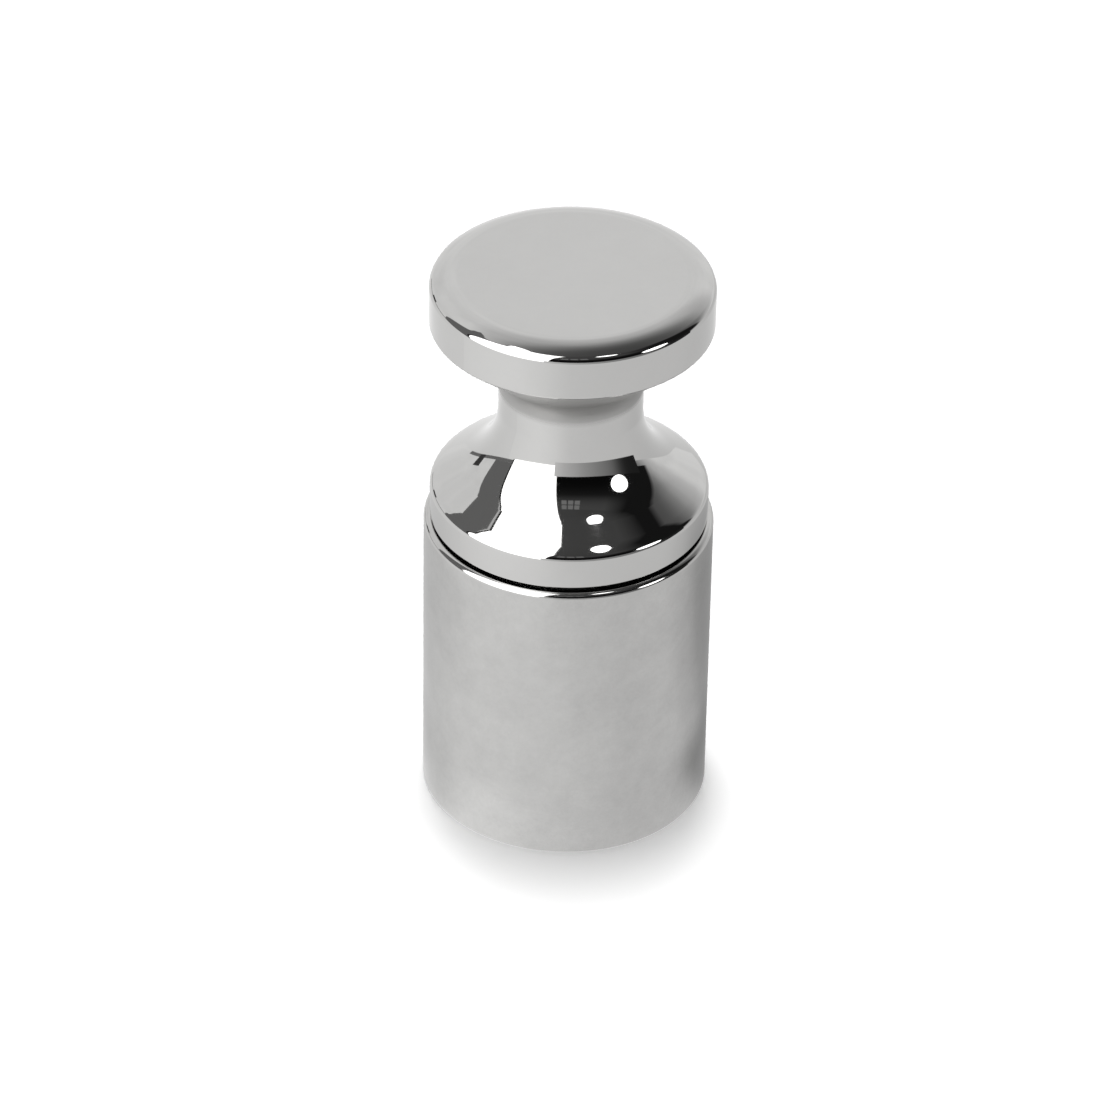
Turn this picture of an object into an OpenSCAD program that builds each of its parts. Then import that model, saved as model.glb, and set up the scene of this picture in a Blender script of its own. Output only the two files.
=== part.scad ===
// Calibration weight, 100 g, of polished stainless steel.
// A turned cylinder holds a drilled adjusting cavity with a few loose steel balls in it.
// A turned knob with a conical shoulder, a waist and a disc head screws in and closes it.
// The axis is Z, the origin is the centre of the base, and the sizes are in millimetres.

/* [Body] */
// Diameter of the cylinder
body_d = 22; // [20:0.1:26]
// Height of the cylinder, from the base to its top face
body_h = 24.3; // [22:0.1:32]
// Radius of the cylinder's rounded top edge
body_top_edge = 0.5; // [0.2:0.05:0.8]
// Radius of the cylinder's rounded bottom edge
body_base_edge = 0.3; // [0.1:0.05:0.8]

/* [Thread and cavity] */
// Nominal diameter of the knob's thread
thread_d = 14; // [10:0.5:15]
// Pitch of the thread
thread_pitch = 1; // [0.5:0.25:1.5]
// Length of the knob's stud
stud_l = 7; // [5:0.5:9]
// How much deeper the thread is cut than the stud reaches
thread_run_out = 2; // [1:0.5:3]
// Gap between the stud and the bore, on the radius
thread_gap = 0.05; // [0.02:0.01:0.1]
// Chamfer at the bore's mouth and at the stud's end
thread_chamfer = 0.5; // [0.2:0.1:0.8]
// Width of the undercut between the stud's thread and its seat
undercut_w = 1; // [0.5:0.1:1.5]
// Thickness of the floor under the adjusting cavity
floor_t = 5.8; // [3:0.1:8]

/* [Adjusting shot] */
// Diameter of one ball
shot_d = 2.5; // [1.5:0.1:3]
// Free space between neighbouring balls, and under the lowest ones
shot_gap = 0.05; // [0.02:0.01:0.2]
// Number of layers of balls on the cavity's floor
shot_layers = 2; // [1:1:3]

/* [Knob: band and seam] */
// Height of the recess between the cylinder and the knob's band
seam_h = 0.3; // [0.1:0.05:0.6]
// Depth of that recess, from the band's side to the seat
seam_depth = 1.2; // [0.5:0.1:1.8]
// How far the band's side lies inside the cylinder's side
band_step = 0.45; // [0.05:0.05:0.8]
// Height of the band
band_h = 2.6; // [1.5:0.1:4]
// Radius of the band's lower edge
band_lower_edge = 0.15; // [0.05:0.05:0.3]
// Radius of the rim between the band's side and the rim's bevel
rim_edge = 0.7; // [0.1:0.1:0.7]
// Width of the rim's bevel, the steeper ring below the conical shoulder
rim_bevel_w = 0.55; // [0.5:0.05:1]
// Slope of that bevel, up from level
rim_slope = 40; // [38:1:42]
// Radius between that bevel and the shoulder
rim_crown = 5; // [2:0.5:5.5]

/* [Knob: waist] */
// Diameter of the neck
neck_d = 10.9; // [9:0.1:13]
// Height of the waist, from the rim to the lower edge of the head
waist_h = 14.4; // [13:0.1:20]
// Slope of the conical shoulder, up from level
shoulder_slope = 33; // [31:1:36]
// Slope of the head's underside, up from level
flare_slope = 40; // [35:1:47]
// Radius between the shoulder and the neck
lower_fillet = 6.2; // [1:0.1:7]
// Radius between the neck and the head's underside
upper_fillet = 3.3; // [1:0.1:4]

/* [Knob: head] */
// Diameter of the head
head_d = 21.3; // [16:0.1:23]
// Height of the head, from its lower edge to its flat top
head_h = 4; // [2:0.1:6]
// Width of the bevel between the head's side and its flat top
bevel_w = 1.3; // [1.2:0.05:1.8]
// Height of that bevel
bevel_h = 0.7; // [0.5:0.05:0.8]
// Radius between the head's side and the bevel
head_side_edge = 0.7; // [0.3:0.1:0.9]
// Radius between the bevel and the flat top
head_top_edge = 3.6; // [1:0.1:4]
// Radius of the head's lower edge
head_lower_edge = 0.3; // [0.1:0.05:0.8]

/* [Hidden] */
$fn = 128;

body_r = body_d / 2;
bore_r = thread_d / 2;
stud_r = bore_r - thread_gap;
undercut_r = stud_r - thread_pitch;
cavity_r = (thread_d - thread_pitch) / 2;
thread_end_z = body_h - stud_l - thread_run_out;

band_r = body_r - band_step;
seat_r = band_r - seam_depth;
neck_r = neck_d / 2;
head_r = head_d / 2;
band_z = body_h + seam_h;
rim_z = band_z + band_h;
head_z = rim_z + waist_h;
top_z = head_z + head_h;
crown_r = band_r - rim_bevel_w;
crown_z = rim_z + rim_bevel_w * tan(rim_slope);
neck_low_z = crown_z + (crown_r - neck_r) * tan(shoulder_slope);
neck_high_z = head_z - (head_r - neck_r) * tan(flare_slope);

shot_r = shot_d / 2;
shot_pitch = shot_d + shot_gap;
shot_rows = ceil(cavity_r / shot_pitch) + 1;
layer_h = shot_pitch * sqrt(2 / 3);
shot_z = floor_t + shot_gap + shot_r;

// How far an arc is set out so that it crosses its corner's sides cleanly and doesn't graze them,
// and how far back along the sides it is trimmed
arc_bite = 0.0002;
arc_trim = 0.1;

function unit(v) = v / norm(v);

// Centre of a ball: its two steps along the hexagonal rows, and the layer's own shift
function ball_place(i, j, layer) =
    let (shift = (layer % 2) / 3)
    shot_pitch * [(i + shift) + (j + shift) / 2, (j + shift) * sqrt(3) / 2];

// A rounded corner is given as [point before, corner, point after, radius].
// The two points where its arc touches the corner's sides
function touched(round) =
    let (
        u = unit(round[0] - round[1]),
        w = unit(round[2] - round[1]),
        reach = round[3] / tan(acos(u * w) / 2)
    )
    [round[1] + u * reach, round[1] + w * reach];

// What such an arc adds beyond its chord. Added where an outer corner is cut along the chord it
// rounds the corner; taken off where an inner corner is filled up to the chord it fillets it.
module arc_segment(round) {
    u = unit(round[0] - round[1]);
    w = unit(round[2] - round[1]);
    inward = unit(u + w);
    radius = round[3];
    start = touched(round)[0] + u * arc_trim;
    end = touched(round)[1] + w * arc_trim;
    intersection() {
        translate(round[1] + inward * (radius / sin(acos(u * w) / 2) - arc_bite)) circle(radius);
        polygon([start, end, end - inward * radius, start - inward * radius]);
    }
}

// Half section of the cylinder, with its bore and cavity open towards the top
module body_section() {
    base_corner = [body_r, 0];
    top_corner = [body_r, body_h];
    base_round = [[0, 0], base_corner, top_corner, body_base_edge];
    top_round = [base_corner, top_corner, [0, body_h], body_top_edge];
    polygon([
        [0, 0],
        each touched(base_round),
        each touched(top_round),
        [bore_r + thread_chamfer, body_h],
        [bore_r, body_h - thread_chamfer],
        [bore_r, thread_end_z],
        [cavity_r, thread_end_z],
        [cavity_r, floor_t],
        [0, floor_t]
    ]);
    arc_segment(base_round);
    arc_segment(top_round);
}

// Half section of the knob: stud, undercut, seat, band, shoulder, neck and head in one turning
module knob_section() {
    seat_low = [seat_r, band_z];
    band_corner = [band_r, band_z];
    rim = [band_r, rim_z];
    crown = [crown_r, crown_z];
    neck_low = [neck_r, neck_low_z];
    neck_high = [neck_r, neck_high_z];
    head_low = [head_r, head_z];
    bevel_low = [head_r, top_z - bevel_h];
    bevel_high = [head_r - bevel_w, top_z];
    band_round = [seat_low, band_corner, rim, band_lower_edge];
    rim_round = [band_corner, rim, crown, rim_edge];
    crown_round = [rim, crown, neck_low, rim_crown];
    shoulder_fillet = [crown, neck_low, neck_high, lower_fillet];
    flare_fillet = [neck_low, neck_high, head_low, upper_fillet];
    head_low_round = [neck_high, head_low, bevel_low, head_lower_edge];
    head_side_round = [head_low, bevel_low, bevel_high, head_side_edge];
    head_top_round = [bevel_low, bevel_high, [0, top_z], head_top_edge];
    difference() {
        polygon([
            [0, body_h - stud_l],
            [stud_r - thread_chamfer, body_h - stud_l],
            [stud_r, body_h - stud_l + thread_chamfer],
            [stud_r, body_h - undercut_w],
            [undercut_r, body_h - undercut_w],
            [undercut_r, body_h],
            [seat_r, body_h],
            seat_low,
            each touched(band_round),
            each touched(rim_round),
            each touched(crown_round),
            each touched(shoulder_fillet),
            each touched(flare_fillet),
            each touched(head_low_round),
            each touched(head_side_round),
            each touched(head_top_round),
            [0, top_z]
        ]);
        arc_segment(shoulder_fillet);
        arc_segment(flare_fillet);
    }
    arc_segment(band_round);
    arc_segment(rim_round);
    arc_segment(crown_round);
    arc_segment(head_low_round);
    arc_segment(head_side_round);
    arc_segment(head_top_round);
}

// The cylinder: turned from bar, drilled and threaded from the top
module weight_body() {
    color("gainsboro") rotate_extrude() body_section();
}

// Loose steel balls that bring the weight to its mass, lying on the cavity's floor
module adjusting_shot() {
    color("darkgray")
        for (layer = [0 : shot_layers - 1], i = [-shot_rows : shot_rows], j = [-shot_rows : shot_rows]) {
            place = ball_place(i, j, layer);
            if (norm(place) + shot_r + shot_gap <= cavity_r)
                translate([place[0], place[1], shot_z + layer * layer_h]) sphere(shot_r);
        }
}

// The knob: one turned piece that closes the cavity and is what the weight is lifted by
module knob() {
    color("silver") rotate_extrude() knob_section();
}

weight_body();
adjusting_shot();
knob();
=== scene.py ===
# A 100 g calibration weight of polished stainless steel, standing on a white ground.

from math import ceil, cos, pi, radians, sin, tan

import bmesh
import bpy
from mathutils import Matrix, Vector


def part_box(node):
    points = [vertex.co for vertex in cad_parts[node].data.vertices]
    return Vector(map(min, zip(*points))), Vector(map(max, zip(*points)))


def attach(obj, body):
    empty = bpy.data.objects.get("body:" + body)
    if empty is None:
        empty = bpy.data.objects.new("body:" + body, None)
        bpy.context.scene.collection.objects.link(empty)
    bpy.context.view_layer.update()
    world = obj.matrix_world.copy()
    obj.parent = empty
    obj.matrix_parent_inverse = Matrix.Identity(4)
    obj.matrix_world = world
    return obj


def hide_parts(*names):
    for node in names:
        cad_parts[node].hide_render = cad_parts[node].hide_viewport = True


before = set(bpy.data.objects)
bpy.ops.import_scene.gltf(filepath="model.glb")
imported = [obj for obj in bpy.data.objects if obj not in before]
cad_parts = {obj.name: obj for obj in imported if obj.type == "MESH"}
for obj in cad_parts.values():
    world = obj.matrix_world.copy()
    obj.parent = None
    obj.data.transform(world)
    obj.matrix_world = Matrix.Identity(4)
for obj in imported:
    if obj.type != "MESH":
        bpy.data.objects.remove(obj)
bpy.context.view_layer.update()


# Camera: a long lens a little under half a metre away, looking down on the weight from the
# front. The place it aims at, on the weight's axis, lies right of the picture's middle and above
# it, and the camera is rolled slightly.

scene = bpy.context.scene
MM = 0.001
picture_side_px = 1100
aim_px = (568.2, 536.2)
focal_px = 5917
sensor_mm = 36
aim = Vector((0, 0, 22 * MM))
view_distance = 450 * MM
view_elevation = radians(35.0)
view_roll = radians(1.1)
nearest_seen = 10 * MM

lens = bpy.data.cameras.new("camera")
lens.sensor_width = sensor_mm
lens.lens = focal_px / picture_side_px * sensor_mm
lens.shift_x = (picture_side_px / 2 - aim_px[0]) / picture_side_px
lens.shift_y = (aim_px[1] - picture_side_px / 2) / picture_side_px
lens.clip_start = nearest_seen
camera = bpy.data.objects.new("camera", lens)
scene.collection.objects.link(camera)
scene.camera = camera

view_direction = Vector((0, cos(view_elevation), -sin(view_elevation)))
camera.matrix_world = (
    Matrix.Translation(aim - view_direction * view_distance)
    @ view_direction.to_track_quat("-Z", "Y").to_matrix().to_4x4()
    @ Matrix.Rotation(view_roll, 4, "Z")
)


# Cylinder: turned from stainless bar, with a polished outside and rounded edges. It is drilled
# from the top for the adjusting cavity, and the mouth of the hole is threaded for the knob.

# The pieces are turned in millimetres. These are the steps of a full turn, of a rounded edge and
# of one turn of thread, and how far from its ends a straight stretch of a section is cut.
turn_steps = 256
arc_step = radians(3)
thread_steps = 96
hold = 0.03
# A thread's V at its root and its crest, as shares of the pitch, and how deep its foot is sunk
thread_root_share = 0.84
thread_crest_share = 0.16
thread_sink = 0.1
# Points closer than this are merged, and corners sharper than this angle show as crisp
merge_distance = 0.0005
crisp_angle = radians(25)


def hold_ends(edge, start, end):
    """Cuts a long straight stretch close to both ends, so that it shades flat between arcs."""
    length = (end.co - start.co).length
    if length < 4 * hold:
        return
    bmesh.utils.edge_split(edge, start, hold / length)
    rest = next(link for link in end.link_edges if link.other_vert(end).co != start.co)
    bmesh.utils.edge_split(rest, end, hold / (length - hold))


def rounded_corner(mesh, before, corner, after, radius):
    """Adds the arc that rounds a corner and returns its two ends."""
    back = (before - corner).normalized()
    on = (after - corner).normalized()
    half = back.angle(on) / 2
    swing = pi - 2 * half
    start = mesh.verts.new(corner + back * radius / tan(half))
    arc = bmesh.ops.spin(
        mesh,
        geom=[start],
        cent=corner + (back + on).normalized() * radius / sin(half),
        axis=on.cross(back),
        angle=swing,
        steps=ceil(swing / arc_step),
    )
    return start, next(last for last in arc["geom_last"] if isinstance(last, bmesh.types.BMVert))


def turn(mesh, corners):
    """Spins a half section about Z. Each corner is (radius, height, radius of its rounding)."""
    points = [Vector((radius, 0, height)) for radius, height, _ in corners]
    made = set(mesh.verts[:] + mesh.edges[:])
    last = None
    for number, (_, _, rounding) in enumerate(corners):
        if rounding:
            start, end = rounded_corner(mesh, *points[number - 1 : number + 2], rounding)
        else:
            start = end = mesh.verts.new(points[number])
        if last:
            hold_ends(mesh.edges.new((last, start)), last, start)
        last = end
    bmesh.ops.spin(
        mesh,
        geom=[part for part in mesh.verts[:] + mesh.edges[:] if part not in made],
        axis=(0, 0, 1),
        angle=2 * pi,
        steps=turn_steps,
        use_merge=True,
    )


def wind_thread(mesh, root, crest, low, high, pitch):
    """Winds a right-hand V thread about Z between two heights, with its foot sunk in the wall."""
    sunk = root - thread_sink if crest > root else root + thread_sink
    half_root = thread_root_share * pitch / 2
    half_crest = thread_crest_share * pitch / 2
    start = low + half_root
    turns = (high - low) / pitch - 2 * half_root / pitch
    section = ((sunk, -half_root), (crest, -half_crest), (crest, half_crest), (sunk, half_root))
    ridge = mesh.faces.new([mesh.verts.new((radius, 0, start + rise)) for radius, rise in section])
    bmesh.ops.spin(
        mesh,
        geom=[ridge],
        axis=(0, 0, 1),
        dvec=(0, 0, pitch / thread_steps),
        angle=2 * pi * turns,
        steps=round(turns * thread_steps),
    )


def new_piece(name, mesh, material):
    """Makes an object of a mesh and one material."""
    data = bpy.data.meshes.new(name)
    mesh.to_mesh(data)
    mesh.free()
    data.materials.append(material)
    piece = bpy.data.objects.new(name, data)
    scene.collection.objects.link(piece)
    return piece


def steel_piece(name, mesh, material):
    """Makes a piece of a turned mesh, smooth on its arcs and crisp at its turned corners."""
    bmesh.ops.remove_doubles(mesh, verts=mesh.verts, dist=merge_distance)
    bmesh.ops.recalc_face_normals(mesh, faces=mesh.faces)
    bmesh.ops.scale(mesh, vec=(MM, MM, MM), verts=mesh.verts)
    for face in mesh.faces:
        face.smooth = True
    piece = new_piece(name, mesh, material)
    piece.data.set_sharp_from_angle(angle=crisp_angle)
    return piece


def new_material(name):
    """A new material and its node tree."""
    material = bpy.data.materials.new(name)
    material.use_nodes = True
    return material, material.node_tree


def node_on(tree, kind, inputs, **settings):
    """Adds a node, sets its properties, and links or fills its inputs by name or number."""
    node = tree.nodes.new(kind)
    for name, value in settings.items():
        setattr(node, name, value)
    for name, value in inputs.items():
        if isinstance(value, bpy.types.NodeSocket):
            tree.links.new(value, node.inputs[name])
        else:
            node.inputs[name].default_value = value
    return node


def math_on(tree, operation, *values):
    """The result of a Math node."""
    inputs = dict(enumerate(values))
    return node_on(tree, "ShaderNodeMath", inputs, operation=operation).outputs[0]


def fade_on(tree, value, start, end, **settings):
    """Goes from 0 to 1 as a value passes from start to end, which may be the lower one."""
    inputs = {"Value": value, "From Min": start, "From Max": end}
    return node_on(tree, "ShaderNodeMapRange", inputs, **settings).outputs[0]


def mix_on(tree, share, before, after, kind):
    """Mixes two colours, of the kind RGBA, or two numbers, which have their own sockets."""
    first, second, result = (6, 7, 2) if kind == "RGBA" else (2, 3, 0)
    inputs = {0: share, first: before, second: after}
    return node_on(tree, "ShaderNodeMix", inputs, data_type=kind).outputs[result]


def turning_marks_group():
    """What turning and hand polishing leave on steel: fine rings, clouds of haze, slight waves."""
    group = bpy.data.node_groups.new("turning_marks", "ShaderNodeTree")
    for name, kind in (
        ("Colour", "NodeSocketColor"),
        ("Cloud Tone", "NodeSocketFloat"),
        ("Roughness", "NodeSocketFloat"),
        ("Haze", "NodeSocketFloat"),
        ("Ring Depth", "NodeSocketFloat"),
        ("Wave Depth", "NodeSocketFloat"),
    ):
        group.interface.new_socket(name, in_out="INPUT", socket_type=kind)
    for name, kind in (
        ("Colour", "NodeSocketColor"),
        ("Roughness", "NodeSocketFloat"),
        ("Normal", "NodeSocketVector"),
        ("Radius", "NodeSocketFloat"),
        ("Height", "NodeSocketFloat"),
    ):
        group.interface.new_socket(name, in_out="OUTPUT", socket_type=kind)

    def add(kind, inputs, **settings):
        return node_on(group, kind, inputs, **settings)

    given = add("NodeGroupInput", {}).outputs
    point = add("ShaderNodeTexCoord", {}).outputs["Object"]
    in_mm = add("ShaderNodeVectorMath", {0: point, "Scale": 1 / MM}, operation="SCALE").outputs[0]
    flat = add("ShaderNodeVectorMath", {0: in_mm, 1: (1, 1, 0)}, operation="MULTIPLY").outputs[0]
    radius = add("ShaderNodeVectorMath", {0: flat}, operation="LENGTH").outputs["Value"]
    height = add("ShaderNodeSeparateXYZ", {0: in_mm}).outputs["Z"]
    in_section = add("ShaderNodeCombineXYZ", {0: radius, 1: height}).outputs[0]

    # rings repeat over about a seventh of a millimetre, clouds and waves over two or three
    rings = add(
        "ShaderNodeTexNoise",
        {"Vector": in_section, "Scale": 7, "Detail": 3, "Roughness": 0.7},
        noise_dimensions="2D",
    ).outputs[0]
    clouds = add(
        "ShaderNodeTexNoise",
        {"Vector": in_mm, "Scale": 0.3, "Detail": 6, "Roughness": 0.8},
    ).outputs[0]
    waves = add("ShaderNodeTexNoise", {"Vector": in_mm, "Scale": 0.55, "Detail": 1}).outputs[0]

    centred = math_on(group, "SUBTRACT", clouds, 0.5)
    tone = math_on(group, "MULTIPLY_ADD", centred, given["Cloud Tone"], 1)
    toned = add("ShaderNodeVectorMath", {0: given["Colour"], "Scale": tone}, operation="SCALE")

    both = math_on(group, "MULTIPLY", clouds, rings)
    rough = math_on(group, "MULTIPLY_ADD", both, given["Haze"], given["Roughness"])

    ring_height = math_on(group, "MULTIPLY", rings, given["Ring Depth"])
    relief = math_on(group, "MULTIPLY_ADD", waves, given["Wave Depth"], ring_height)
    bump = add("ShaderNodeBump", {"Height": relief, "Distance": MM, "Strength": 1})
    add(
        "NodeGroupOutput",
        {
            "Colour": toned.outputs[0],
            "Roughness": rough,
            "Normal": bump.outputs[0],
            "Radius": radius,
            "Height": height,
        },
    )
    return group


turning_marks = turning_marks_group()
# where the steel is left as the tool cut it
as_cut = {"Roughness": 0.26, "Ring Depth": 0.0012}


def steel(name, finish):
    """Steel with its turning marks. The finish fills the marks' inputs, with depths in mm."""
    material, tree = new_material(name)
    marks = node_on(tree, "ShaderNodeGroup", finish, node_tree=turning_marks)
    shader = tree.nodes["Principled BSDF"]
    shader.inputs["Metallic"].default_value = 1
    tree.links.new(marks.outputs["Colour"], shader.inputs["Base Color"])
    tree.links.new(marks.outputs["Roughness"], shader.inputs["Roughness"])
    tree.links.new(marks.outputs["Normal"], shader.inputs["Normal"])
    return material, marks


def change_finish(material, marks, measure, start, end, changes):
    """Changes a finish as its measure, the radius or the height in mm, passes from start to end.

    The measure comes from a second copy of the group, since a group can't feed itself.
    """
    tree = material.node_tree
    measured = node_on(tree, "ShaderNodeGroup", {}, node_tree=turning_marks)
    share = fade_on(tree, measured.outputs[measure], start, end)
    for name, value in changes.items():
        entry = marks.inputs[name]
        before = entry.links[0].from_socket if entry.is_linked else entry.default_value
        kind = "RGBA" if entry.type == "RGBA" else "FLOAT"
        tree.links.new(mix_on(tree, share, before, value, kind), entry)


body_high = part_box("weight_body")[1]
body_r = body_high.x / MM
body_h = body_high.z / MM
body_top_edge = 0.5
body_base_edge = 0.3
# threaded bore, and the cavity under it
bore_r = 7.0
bore_chamfer = 0.5
bore_crest_r = 6.48
bore_thread_l = 9.0
thread_pitch = 1.0
cavity_r = 6.5
cavity_floor_z = 5.8

mouth_r = bore_r + bore_chamfer
thread_end_z = body_h - bore_thread_l
# inside the mouth, and in the middle of the base below it, the steel is as it was cut
polish_end = (mouth_r + 0.02, mouth_r + 0.01)

cylinder = bmesh.new()
wind_thread(cylinder, bore_r, bore_crest_r, thread_end_z, body_h - bore_chamfer, thread_pitch)
turn(
    cylinder,
    [
        (0, 0, 0),
        (body_r, 0, body_base_edge),
        (body_r, body_h, body_top_edge),
        (mouth_r, body_h, 0),
        (bore_r, body_h - bore_chamfer, 0),
        (bore_r, thread_end_z, 0),
        (cavity_r, thread_end_z, 0),
        (cavity_r, cavity_floor_z, 0),
        (0, cavity_floor_z, 0),
    ],
)
cylinder_steel, cylinder_marks = steel(
    "cylinder_steel",
    {
        # a little darker than the knob's steel, though both are the same bar: painted shade
        "Colour": (0.502, 0.499, 0.492, 1),
        "Cloud Tone": 0.36,
        "Roughness": 0.05,
        "Haze": 0.12,
        "Ring Depth": 0.00012,
        "Wave Depth": 0.0012,
    },
)
change_finish(cylinder_steel, cylinder_marks, "Radius", *polish_end, as_cut)
cylinder_piece = steel_piece("weight_cylinder", cylinder, cylinder_steel)
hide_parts("weight_body")
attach(cylinder_piece, "weight_body")


# Adjusting shot: loose steel balls on the cavity's floor, which bring the weight to its mass.
# They are tumbled and not polished, so their steel is duller than that of the turned pieces.

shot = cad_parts["adjusting_shot"]
shot.data.materials.clear()
shot_steel = steel(
    "shot_steel",
    {
        "Colour": (0.46, 0.455, 0.445, 1),
        "Cloud Tone": 0.3,
        "Roughness": 0.24,
        "Haze": 0.3,
        "Ring Depth": 0,
        "Wave Depth": 0.02,
    },
)[0]
shot.data.materials.append(shot_steel)


# Knob: turned from the same bar in one piece, from the threaded stud to the disc head, and
# polished bright. It screws down on the cylinder until its seat meets the top.

knob_low, knob_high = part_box("knob")
# stud, with an undercut between its thread and the seat
stud_end_z = knob_low.z / MM
stud_root_r = 6.35
stud_crest_r = 6.9
stud_chamfer = 0.5
undercut_r = 5.95
undercut_w = 1.0
# seam, band, and the rim's narrow bevel
seam_h = 0.3
seam_depth = 1.2
band_step = 0.45
band_h = 2.6
band_edge = 0.15
rim_edge = 0.7
rim_bevel_w = 0.55
rim_slope = radians(40)
rim_crown = 5.0
# waist: conical shoulder, neck, and underside of the head
waist_h = 14.4
neck_r = 5.45
shoulder_slope = radians(33)
flare_slope = radians(40)
lower_fillet = 6.2
upper_fillet = 3.3
# head
head_r = 10.65
head_lower_edge = 0.3
head_side_edge = 0.7
head_top_edge = 3.6
head_bevel_w = 1.3
head_bevel_h = 0.7

thread_low_z = stud_end_z + stud_chamfer
thread_top_z = body_h - undercut_w
band_r = body_r - band_step
seat_r = band_r - seam_depth
band_z = body_h + seam_h
rim_z = band_z + band_h
head_z = rim_z + waist_h
top_z = knob_high.z / MM
crown_r = band_r - rim_bevel_w
crown_z = rim_z + rim_bevel_w * tan(rim_slope)
neck_low_z = crown_z + (crown_r - neck_r) * tan(shoulder_slope)
neck_high_z = head_z - (head_r - neck_r) * tan(flare_slope)
# Below the band the steel is as it was cut. The polishing wheel doesn't reach far under the head,
# so the knob turns dull at the top of the neck and bright again at the head's lower edge. In the
# dull band its colour is also darker, painted shade under the head.
polish_end = (band_z - 0.01, band_z - 0.02)
dulls_with_painted_shade = (neck_high_z - 1.7, neck_high_z - 1.1)
turns_bright = (head_z - 0.2, head_z)

knob = bmesh.new()
wind_thread(knob, stud_root_r, stud_crest_r, thread_low_z, thread_top_z, thread_pitch)
turn(
    knob,
    [
        (0, stud_end_z, 0),
        (stud_root_r - stud_chamfer, stud_end_z, 0),
        (stud_root_r, thread_low_z, 0),
        (stud_root_r, thread_top_z, 0),
        (undercut_r, thread_top_z, 0),
        (undercut_r, body_h, 0),
        (seat_r, body_h, 0),
        (seat_r, band_z, 0),
        (band_r, band_z, band_edge),
        (band_r, rim_z, rim_edge),
        (crown_r, crown_z, rim_crown),
        (neck_r, neck_low_z, lower_fillet),
        (neck_r, neck_high_z, upper_fillet),
        (head_r, head_z, head_lower_edge),
        (head_r, top_z - head_bevel_h, head_side_edge),
        (head_r - head_bevel_w, top_z, head_top_edge),
        (0, top_z, 0),
    ],
)
bright = {"Colour": (0.535, 0.532, 0.525, 1), "Roughness": 0.02, "Haze": 0.07}
# rougher steel, with its colour darkened as painted shade under the head
dull_with_painted_shade = {"Colour": (0.41, 0.407, 0.4, 1), "Roughness": 0.36, "Haze": 0.3}
knob_steel, knob_marks = steel(
    "knob_steel",
    {**bright, "Cloud Tone": 0.07, "Ring Depth": 0.00002, "Wave Depth": 0.0013},
)
change_finish(knob_steel, knob_marks, "Height", *polish_end, as_cut)
change_finish(knob_steel, knob_marks, "Height", *dulls_with_painted_shade, dull_with_painted_shade)
change_finish(knob_steel, knob_marks, "Height", *turns_bright, bright)
knob_piece = steel_piece("knob_turning", knob, knob_steel)
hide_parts("knob")
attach(knob_piece, "knob")


# Ground: a wide white board. The camera sees it lifted to plain white with the soft shadow on
# it. The steel mirrors painted light and shade on it instead: lighter towards the softbox, a
# painted shadow behind the weight, and darkest close round its foot.

ground_r = 3.0
ground_gap = 0.02 * MM
ground_colour = (0.8, 0.8, 0.8, 1)
ground_lift = 0.29
# The painted light and shade levels that the steel mirrors, by azimuth: 0 is the camera's side
# and 90 is the right. The first list is close round the foot, where the painted shadow is darkest.
# The second takes over as the distance from the axis passes through its stretch, then the third.
painted_light_at_foot = (
    (0, 0.95), (39, 0.83), (60, 0.82), (70, 0.7), (79, 0.47), (87, 0.38),
    (110, 0.32), (150, 0.32), (200, 0.5), (240, 0.65), (262, 0.75), (270, 0.82),
    (277, 0.87), (287, 0.93), (300, 1.07), (313, 1.27), (332, 1.17), (347, 1.05),
)
near_stretch = (14 * MM, 20 * MM)
painted_light_near = (
    (0, 0.96), (39, 0.84), (75, 0.84), (85, 0.76), (97, 0.64), (104, 0.56),
    (111, 0.46), (120, 0.42), (140, 0.36), (160, 0.42), (190, 0.55), (215, 0.64),
    (232, 0.72), (247, 0.79), (262, 0.9), (270, 0.94), (279, 0.98), (307, 1.13),
)
far_stretch = (35 * MM, 60 * MM)
painted_light_far = (
    (0, 0.9), (50, 0.86), (80, 0.86), (110, 0.78), (150, 0.75), (175, 1.0),
    (190, 1.05), (230, 0.9), (270, 1.05), (310, 1.2), (340, 1.06),
)
# A ramp holds each level divided by this, so that levels may go above 1, and glows as strongly
ramp_strength = 2
mirror_rays = ("Is Glossy Ray", "Is Transmission Ray")


def stage_piece(name, mesh, material):
    """Makes a piece for the studio, of a mesh and one material."""
    piece = new_piece(name, mesh, material)
    return piece


def bare_material(name):
    """A new material without the shader that it comes with."""
    material, tree = new_material(name)
    tree.nodes.remove(tree.nodes["Principled BSDF"])
    return material, tree


def show(tree, shader):
    """Makes a shader the one that the surface shows."""
    tree.links.new(shader.outputs[0], tree.nodes["Material Output"].inputs["Surface"])


def rays_sum(tree, names):
    """Adds up Light Path outputs: 1 for the kinds of ray named, 0 for the others."""
    path = node_on(tree, "ShaderNodeLightPath", {})
    total = path.outputs[names[0]]
    for name in names[1:]:
        total = math_on(tree, "ADD", total, path.outputs[name])
    return total


def grey_ramp(tree, value, levels):
    """A smooth ramp of grey levels, each given with the value that it belongs to."""
    node = node_on(tree, "ShaderNodeValToRGB", {0: value})
    node.color_ramp.interpolation = "B_SPLINE"
    stops = node.color_ramp.elements
    stops.remove(stops[1])
    for number, (position, level) in enumerate(sorted(levels)):
        stop = stops.new(position) if number else stops[0]
        grey = level / ramp_strength
        stop.position = position
        stop.color = (grey, grey, grey, 1)
    return node.outputs[0]


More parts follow.
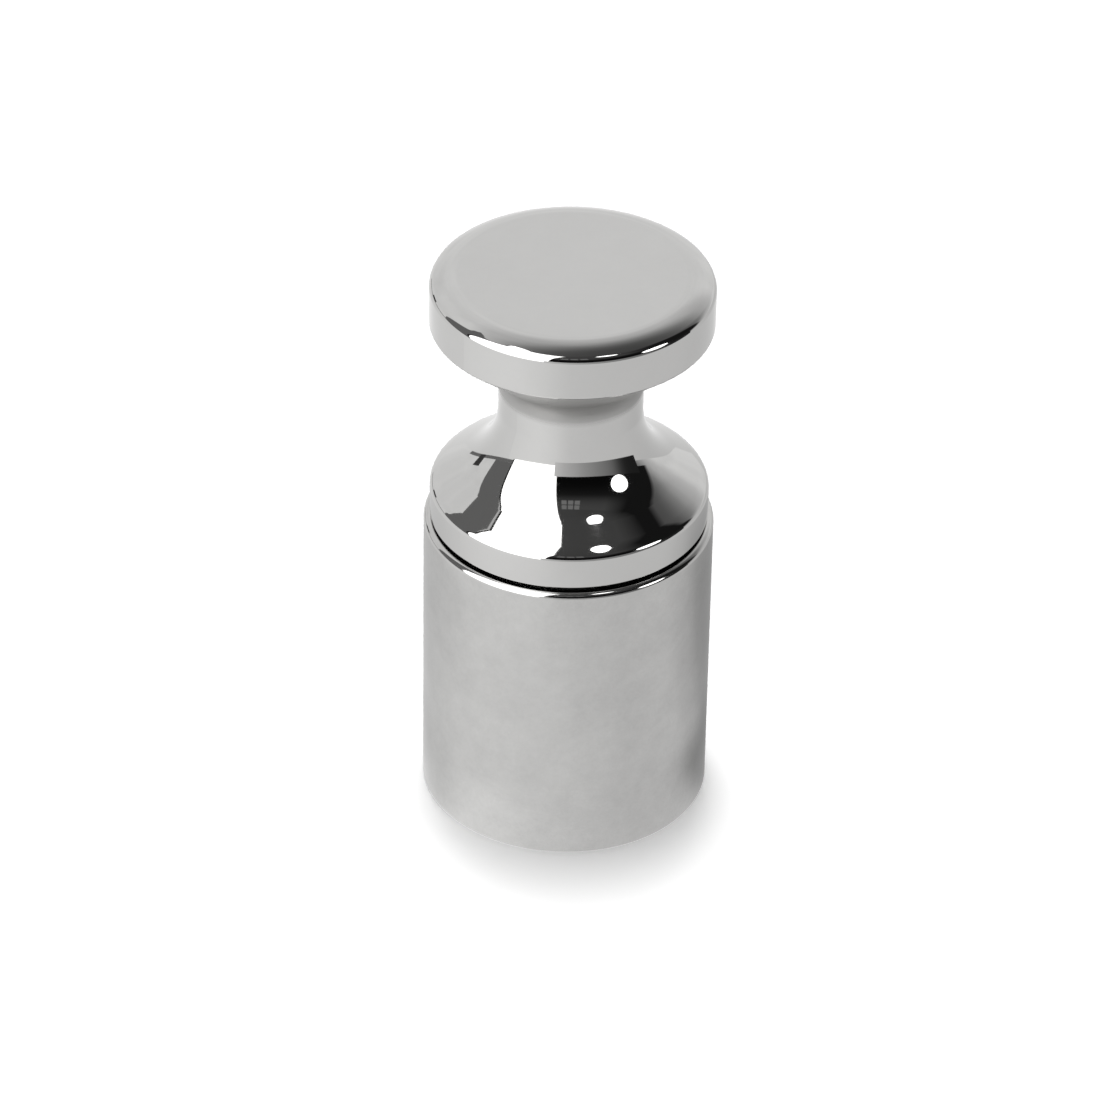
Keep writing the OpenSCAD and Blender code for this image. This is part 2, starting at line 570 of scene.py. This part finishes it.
def round_gradient(tree, point):
    """Goes from 0 to 1 round the Z axis, starting and ending on the left of the camera."""
    inputs = {0: point}
    gradient = node_on(tree, "ShaderNodeTexGradient", inputs, gradient_type="RADIAL")
    return gradient.outputs["Fac"]


def on_gradient(azimuth):
    """The value of the round gradient at an azimuth."""
    return ((azimuth - 90) / 360 + 0.5) % 1


def full_circle(levels):
    """Places levels on the round gradient, with the level at 270 at both of its ends."""
    placed = [(on_gradient(azimuth), level) for azimuth, level in levels]
    seam = dict(levels)[270]
    return [stop for stop in placed if stop[0] > 0] + [(0, seam), (1, seam)]


ground_white, tree = bare_material("ground_white")
board = node_on(tree, "ShaderNodeBsdfDiffuse", {"Color": ground_colour})
lift = node_on(tree, "ShaderNodeEmission", {"Strength": ground_lift})
seen = node_on(tree, "ShaderNodeAddShader", {0: board.outputs[0], 1: lift.outputs[0]})

point = node_on(tree, "ShaderNodeTexCoord", {}).outputs["Object"]
around = round_gradient(tree, point)
reach = node_on(tree, "ShaderNodeVectorMath", {0: point}, operation="LENGTH")
# painted light and shade, seen only in the steel's reflections of the ground
painted_shades = grey_ramp(tree, around, full_circle(painted_light_at_foot))
for stretch, levels in ((near_stretch, painted_light_near), (far_stretch, painted_light_far)):
    share = fade_on(tree, reach.outputs["Value"], *stretch, interpolation_type="SMOOTHSTEP")
    further = grey_ramp(tree, around, full_circle(levels))
    painted_shades = mix_on(tree, share, painted_shades, further, "RGBA")
mirrored = node_on(tree, "ShaderNodeEmission", {"Color": painted_shades, "Strength": ramp_strength})
choice = {0: rays_sum(tree, mirror_rays), 1: seen.outputs[0], 2: mirrored.outputs[0]}
show(tree, node_on(tree, "ShaderNodeMixShader", choice))

ground = bmesh.new()
bmesh.ops.create_circle(ground, cap_ends=True, segments=64, radius=ground_r)
bmesh.ops.translate(ground, verts=ground.verts, vec=(0, 0, -ground_gap))
stage_piece("ground", ground, ground_white)


# Room: plain white to the camera. The steel mirrors a vaulted ceiling, which comes down to the
# ground all round. It glows with slightly mottled painted light and has painted shade in front on
# the right.

studio_centre = Vector((0, 0, 30 * MM))
# the room's level for the soft light that it throws on the ground
room_fill = 0.3
ceiling_r = 1.5
# azimuth and elevation of the middle of the ceiling's painted shade, its painted light levels by
# the angle from there, and how far the mottle varies them
painted_shade_centre = (40, 40)
painted_ceiling_levels = (
    (0, 0.07), (40, 0.08), (50, 0.11), (55, 0.13), (60, 0.19),
    (66, 0.34), (70, 0.47), (75, 0.64), (83, 0.82), (88, 0.98),
)
mottle_scale = 4
mottle_depth = 0.3

world = bpy.data.worlds.new("white_room")
scene.world = world
world.use_nodes = True
tree = world.node_tree
walls = tree.nodes["Background"]
walls.inputs["Color"].default_value = (1, 1, 1, 1)
is_seen = rays_sum(tree, ("Is Camera Ray", *mirror_rays))
limits = {"Value": is_seen, "To Min": room_fill, "To Max": 1}
wall_level = node_on(tree, "ShaderNodeMapRange", limits).outputs[0]
tree.links.new(wall_level, walls.inputs["Strength"])


def toward(azimuth, elevation):
    """The direction from the weight to a place in the studio: azimuth 0 is the camera's side."""
    a, e = radians(azimuth), radians(elevation)
    return Vector((sin(a) * cos(e), -cos(a) * cos(e), sin(e)))


def glow(name, strength):
    """A material that shows at its own level, with its node tree and the shader that glows."""
    material, tree = bare_material(name)
    emission = node_on(tree, "ShaderNodeEmission", {"Strength": strength})
    show(tree, emission)
    return material, tree, emission


def plain_glow(name, strength):
    """A material that shows at its own level, the same all over."""
    return glow(name, strength)[0]


def outward(tree):
    """The direction from the weight to the shaded place."""
    point = node_on(tree, "ShaderNodeTexCoord", {}).outputs["Object"]
    ends = {0: point, 1: studio_centre}
    offset = node_on(tree, "ShaderNodeVectorMath", ends, operation="SUBTRACT").outputs[0]
    return node_on(tree, "ShaderNodeVectorMath", {0: offset}, operation="NORMALIZE").outputs[0]


def only_mirrored(name, mesh, material):
    """Adds a studio piece that shows only as a reflection in the steel."""
    piece = stage_piece(name, mesh, material)
    piece.visible_camera = False
    piece.visible_diffuse = False
    piece.visible_shadow = False


# the ceiling's glow: painted light, with painted shade round its darkest place
ceiling_painted_light_and_shade, tree, emission = glow("ceiling_painted_light_and_shade", ramp_strength)
away = outward(tree)
darkest = toward(*painted_shade_centre)
nearness = node_on(tree, "ShaderNodeVectorMath", {0: away, 1: darkest}, operation="DOT_PRODUCT")
by_nearness = [(cos(radians(angle)), level) for angle, level in painted_ceiling_levels]
painted_shades = grey_ramp(tree, nearness.outputs["Value"], by_nearness)
mottle = node_on(tree, "ShaderNodeTexNoise", {"Vector": away, "Scale": mottle_scale, "Detail": 3})
spread = math_on(tree, "MULTIPLY_ADD", mottle.outputs[0], mottle_depth, 1 - mottle_depth / 2)
mottled = node_on(tree, "ShaderNodeVectorMath", {0: painted_shades, "Scale": spread}, operation="SCALE")
tree.links.new(mottled.outputs[0], emission.inputs["Color"])
dome = bmesh.new()
bmesh.ops.create_uvsphere(dome, u_segments=48, v_segments=24, radius=ceiling_r)
whole_dome = dome.verts[:] + dome.edges[:] + dome.faces[:]
bmesh.ops.bisect_plane(dome, geom=whole_dome, plane_no=(0, 0, 1), clear_inner=True)
only_mirrored("ceiling", dome, ceiling_painted_light_and_shade)


# Curtain: black cloth in front on the right, hung in a curve round the weight. It glows at painted
# levels: painted shade, nearly black, paling a little towards its top with painted light.

# painted levels by elevation
painted_curtain_levels = ((12, 0.004), (36, 0.004), (45, 0.07), (56, 0.09))
screen_rows = 12
screen_columns = 24


def screen(name, material, distance, azimuths, elevations):
    """A screen curved round the weight, between two azimuths and two elevations."""
    mesh = bmesh.new()
    left, right = azimuths
    low, high = elevations
    foot = mesh.verts.new(studio_centre + toward(left, low) * distance)
    bmesh.ops.spin(
        mesh,
        geom=[foot],
        cent=studio_centre,
        axis=toward(left, 0).cross(Vector((0, 0, 1))),
        angle=radians(high - low),
        steps=screen_rows,
    )
    bmesh.ops.spin(
        mesh,
        geom=mesh.verts[:] + mesh.edges[:],
        cent=studio_centre,
        axis=(0, 0, 1),
        angle=radians(right - left),
        steps=screen_columns,
    )
    only_mirrored(name, mesh, material)


curtain_painted_glow, tree, emission = glow("curtain_painted_glow", ramp_strength)
height = node_on(tree, "ShaderNodeSeparateXYZ", {0: outward(tree)}).outputs["Z"]
by_height = [(sin(radians(elevation)), level) for elevation, level in painted_curtain_levels]
tree.links.new(grey_ramp(tree, height, by_height), emission.inputs["Color"])
screen("curtain", curtain_painted_glow, distance=1.2, azimuths=(-17, 98), elevations=(12, 56))


# Dark corner: painted shade, a second black screen just inside the curtain, further to the right.
# It has no hard edge at its sides and its top, where it thins out until it is clear.

# each from where the screen is clear to where it is black, in degrees
corner_left_fade = (50.4, 79.2)
corner_right_fade = (111.6, 107.28)
corner_top_fade = (65.5, 55.1)

painted_corner_shade, tree, emission = glow("painted_corner_shade", strength=0.012)
away = outward(tree)
around = round_gradient(tree, away)
height = node_on(tree, "ShaderNodeSeparateXYZ", {0: away}).outputs["Z"]
left = fade_on(tree, around, *map(on_gradient, corner_left_fade))
right = fade_on(tree, around, *map(on_gradient, corner_right_fade))
top = fade_on(tree, height, *(sin(radians(elevation)) for elevation in corner_top_fade))
sides = math_on(tree, "MULTIPLY", left, right)
cover = math_on(tree, "MULTIPLY", sides, top)
clear = node_on(tree, "ShaderNodeBsdfTransparent", {})
choice = {0: cover, 1: clear.outputs[0], 2: emission.outputs[0]}
show(tree, node_on(tree, "ShaderNodeMixShader", choice))
screen("painted_shade_corner", painted_corner_shade, distance=1.15, azimuths=(50, 114), elevations=(5, 66))


# Apron: a sheet that stands close in front of the weight, below the camera. It glows with painted
# light, pale on the left, and darkens to black on the right with painted shade.

# painted light levels by azimuth
painted_apron_levels = (
    (-20, 0.89), (-10, 0.72), (0, 0.62), (10, 0.55), (20, 0.445), (30, 0.39),
    (40, 0.32), (50, 0.27), (60, 0.2), (70, 0.06), (80, 0.02), (97, 0.02),
)

apron_painted_light, tree, emission = glow("apron_painted_light", ramp_strength)
around = round_gradient(tree, outward(tree))
by_azimuth = [(on_gradient(azimuth), level) for azimuth, level in painted_apron_levels]
tree.links.new(grey_ramp(tree, around, by_azimuth), emission.inputs["Color"])
screen("apron", apron_painted_light, distance=0.24, azimuths=(-20, 97), elevations=(-7, 12))


# Window: two rows of three dim panes behind the camera and above it, with dark bars between them
# where the curtain shows through.

pane_w = 7
pane_h = 5.5
pane_azimuths = (-10, -1, 8)
pane_elevations = (44, 50.5)

pane_glow = plain_glow("pane_glow", strength=0.25)
panes = [(azimuth, elevation) for azimuth in pane_azimuths for elevation in pane_elevations]
for number, (azimuth, elevation) in enumerate(panes):
    across = (azimuth, azimuth + pane_w)
    up = (elevation, elevation + pane_h)
    screen("pane_%d" % number, pane_glow, distance=1.1, azimuths=across, elevations=up)


# Softbox: a tall sheet of bright white cloth on the left, in front of a slightly wider black one
# that shows as a dark rim along its far side.

def card(name, material, facing, distance, corners):
    """A flat card whose corners lie in the given directions, each an azimuth and an elevation."""
    mesh = bmesh.new()
    rays = [toward(*corner) for corner in corners]
    made = [mesh.verts.new(studio_centre + ray * distance / ray.dot(facing)) for ray in rays]
    bmesh.ops.contextual_create(mesh, geom=made)
    only_mirrored(name, mesh, material)


softbox_facing = toward(-45, 30)
card(
    "softbox",
    plain_glow("softbox_cloth", strength=3),
    facing=softbox_facing,
    distance=0.45,
    corners=((-79.5, -3), (-113, 70), (-15, 79), (-17, -3)),
)
card(
    "softbox_rim",
    plain_glow("rim_black", strength=0.01),
    facing=softbox_facing,
    distance=0.47,
    corners=((-81.5, -3), (-115.5, 70), (-15, 79), (-17, -3)),
)


# Flag, table and stand: a grey cloth beside the softbox, the edge of a far table below it, and a
# dark lamp stand further back. Each glows at one set level, painted light for how lit it is. The
# left side of the weight mirrors them.

card(
    "grey_flag",
    plain_glow("flag_painted_light", strength=0.19),
    facing=toward(-95, 30),
    distance=0.9,
    corners=((-109, 2), (-125, 56), (-106, 59), (-78, 2)),
)
table_painted_light = plain_glow("table_painted_light", strength=0.2)
screen("far_table", table_painted_light, distance=1.3, azimuths=(-147, -79), elevations=(-2, 2))
stand_painted_light = plain_glow("stand_painted_light", strength=0.06)
screen("lamp_stand", stand_painted_light, distance=1.2, azimuths=(-134, -127), elevations=(-1, 11))


# Lamps: two round lamps in front on the right, which the steel mirrors as bright spots, and a
# small lit panel overhead, which lights the ground and throws the soft shadow.

spot_distance = 0.5
# azimuth, elevation, and half the angle that the lamp takes up as seen from the weight
spot_places = {"lamp_front": (46, 67, 5.3), "lamp_right": (66.5, 22.5, 10.5)}
overhead_w = 0.09
overhead_l = 0.16
overhead_watts = 5.9
overhead_place = toward(-173, 85.3) * 0.9

for name, (azimuth, elevation, half_angle) in spot_places.items():
    bulb = bmesh.new()
    bulb_r = spot_distance * sin(radians(half_angle))
    bulb_place = studio_centre + toward(azimuth, elevation) * spot_distance
    bmesh.ops.create_icosphere(bulb, subdivisions=3, radius=bulb_r)
    bmesh.ops.translate(bulb, verts=bulb.verts, vec=bulb_place)
    only_mirrored(name, bulb, plain_glow(name, strength=4))

overhead = bpy.data.lights.new("overhead", "AREA")
overhead.shape = "RECTANGLE"
overhead.size = overhead_w
overhead.size_y = overhead_l
overhead.energy = overhead_watts
lamp = bpy.data.objects.new("overhead", overhead)
scene.collection.objects.link(lamp)
lamp.location = overhead_place
lamp.rotation_euler = (-overhead_place).to_track_quat("-Z", "Y").to_euler()
lamp.visible_glossy = False


scene.view_settings.view_transform = "Standard"
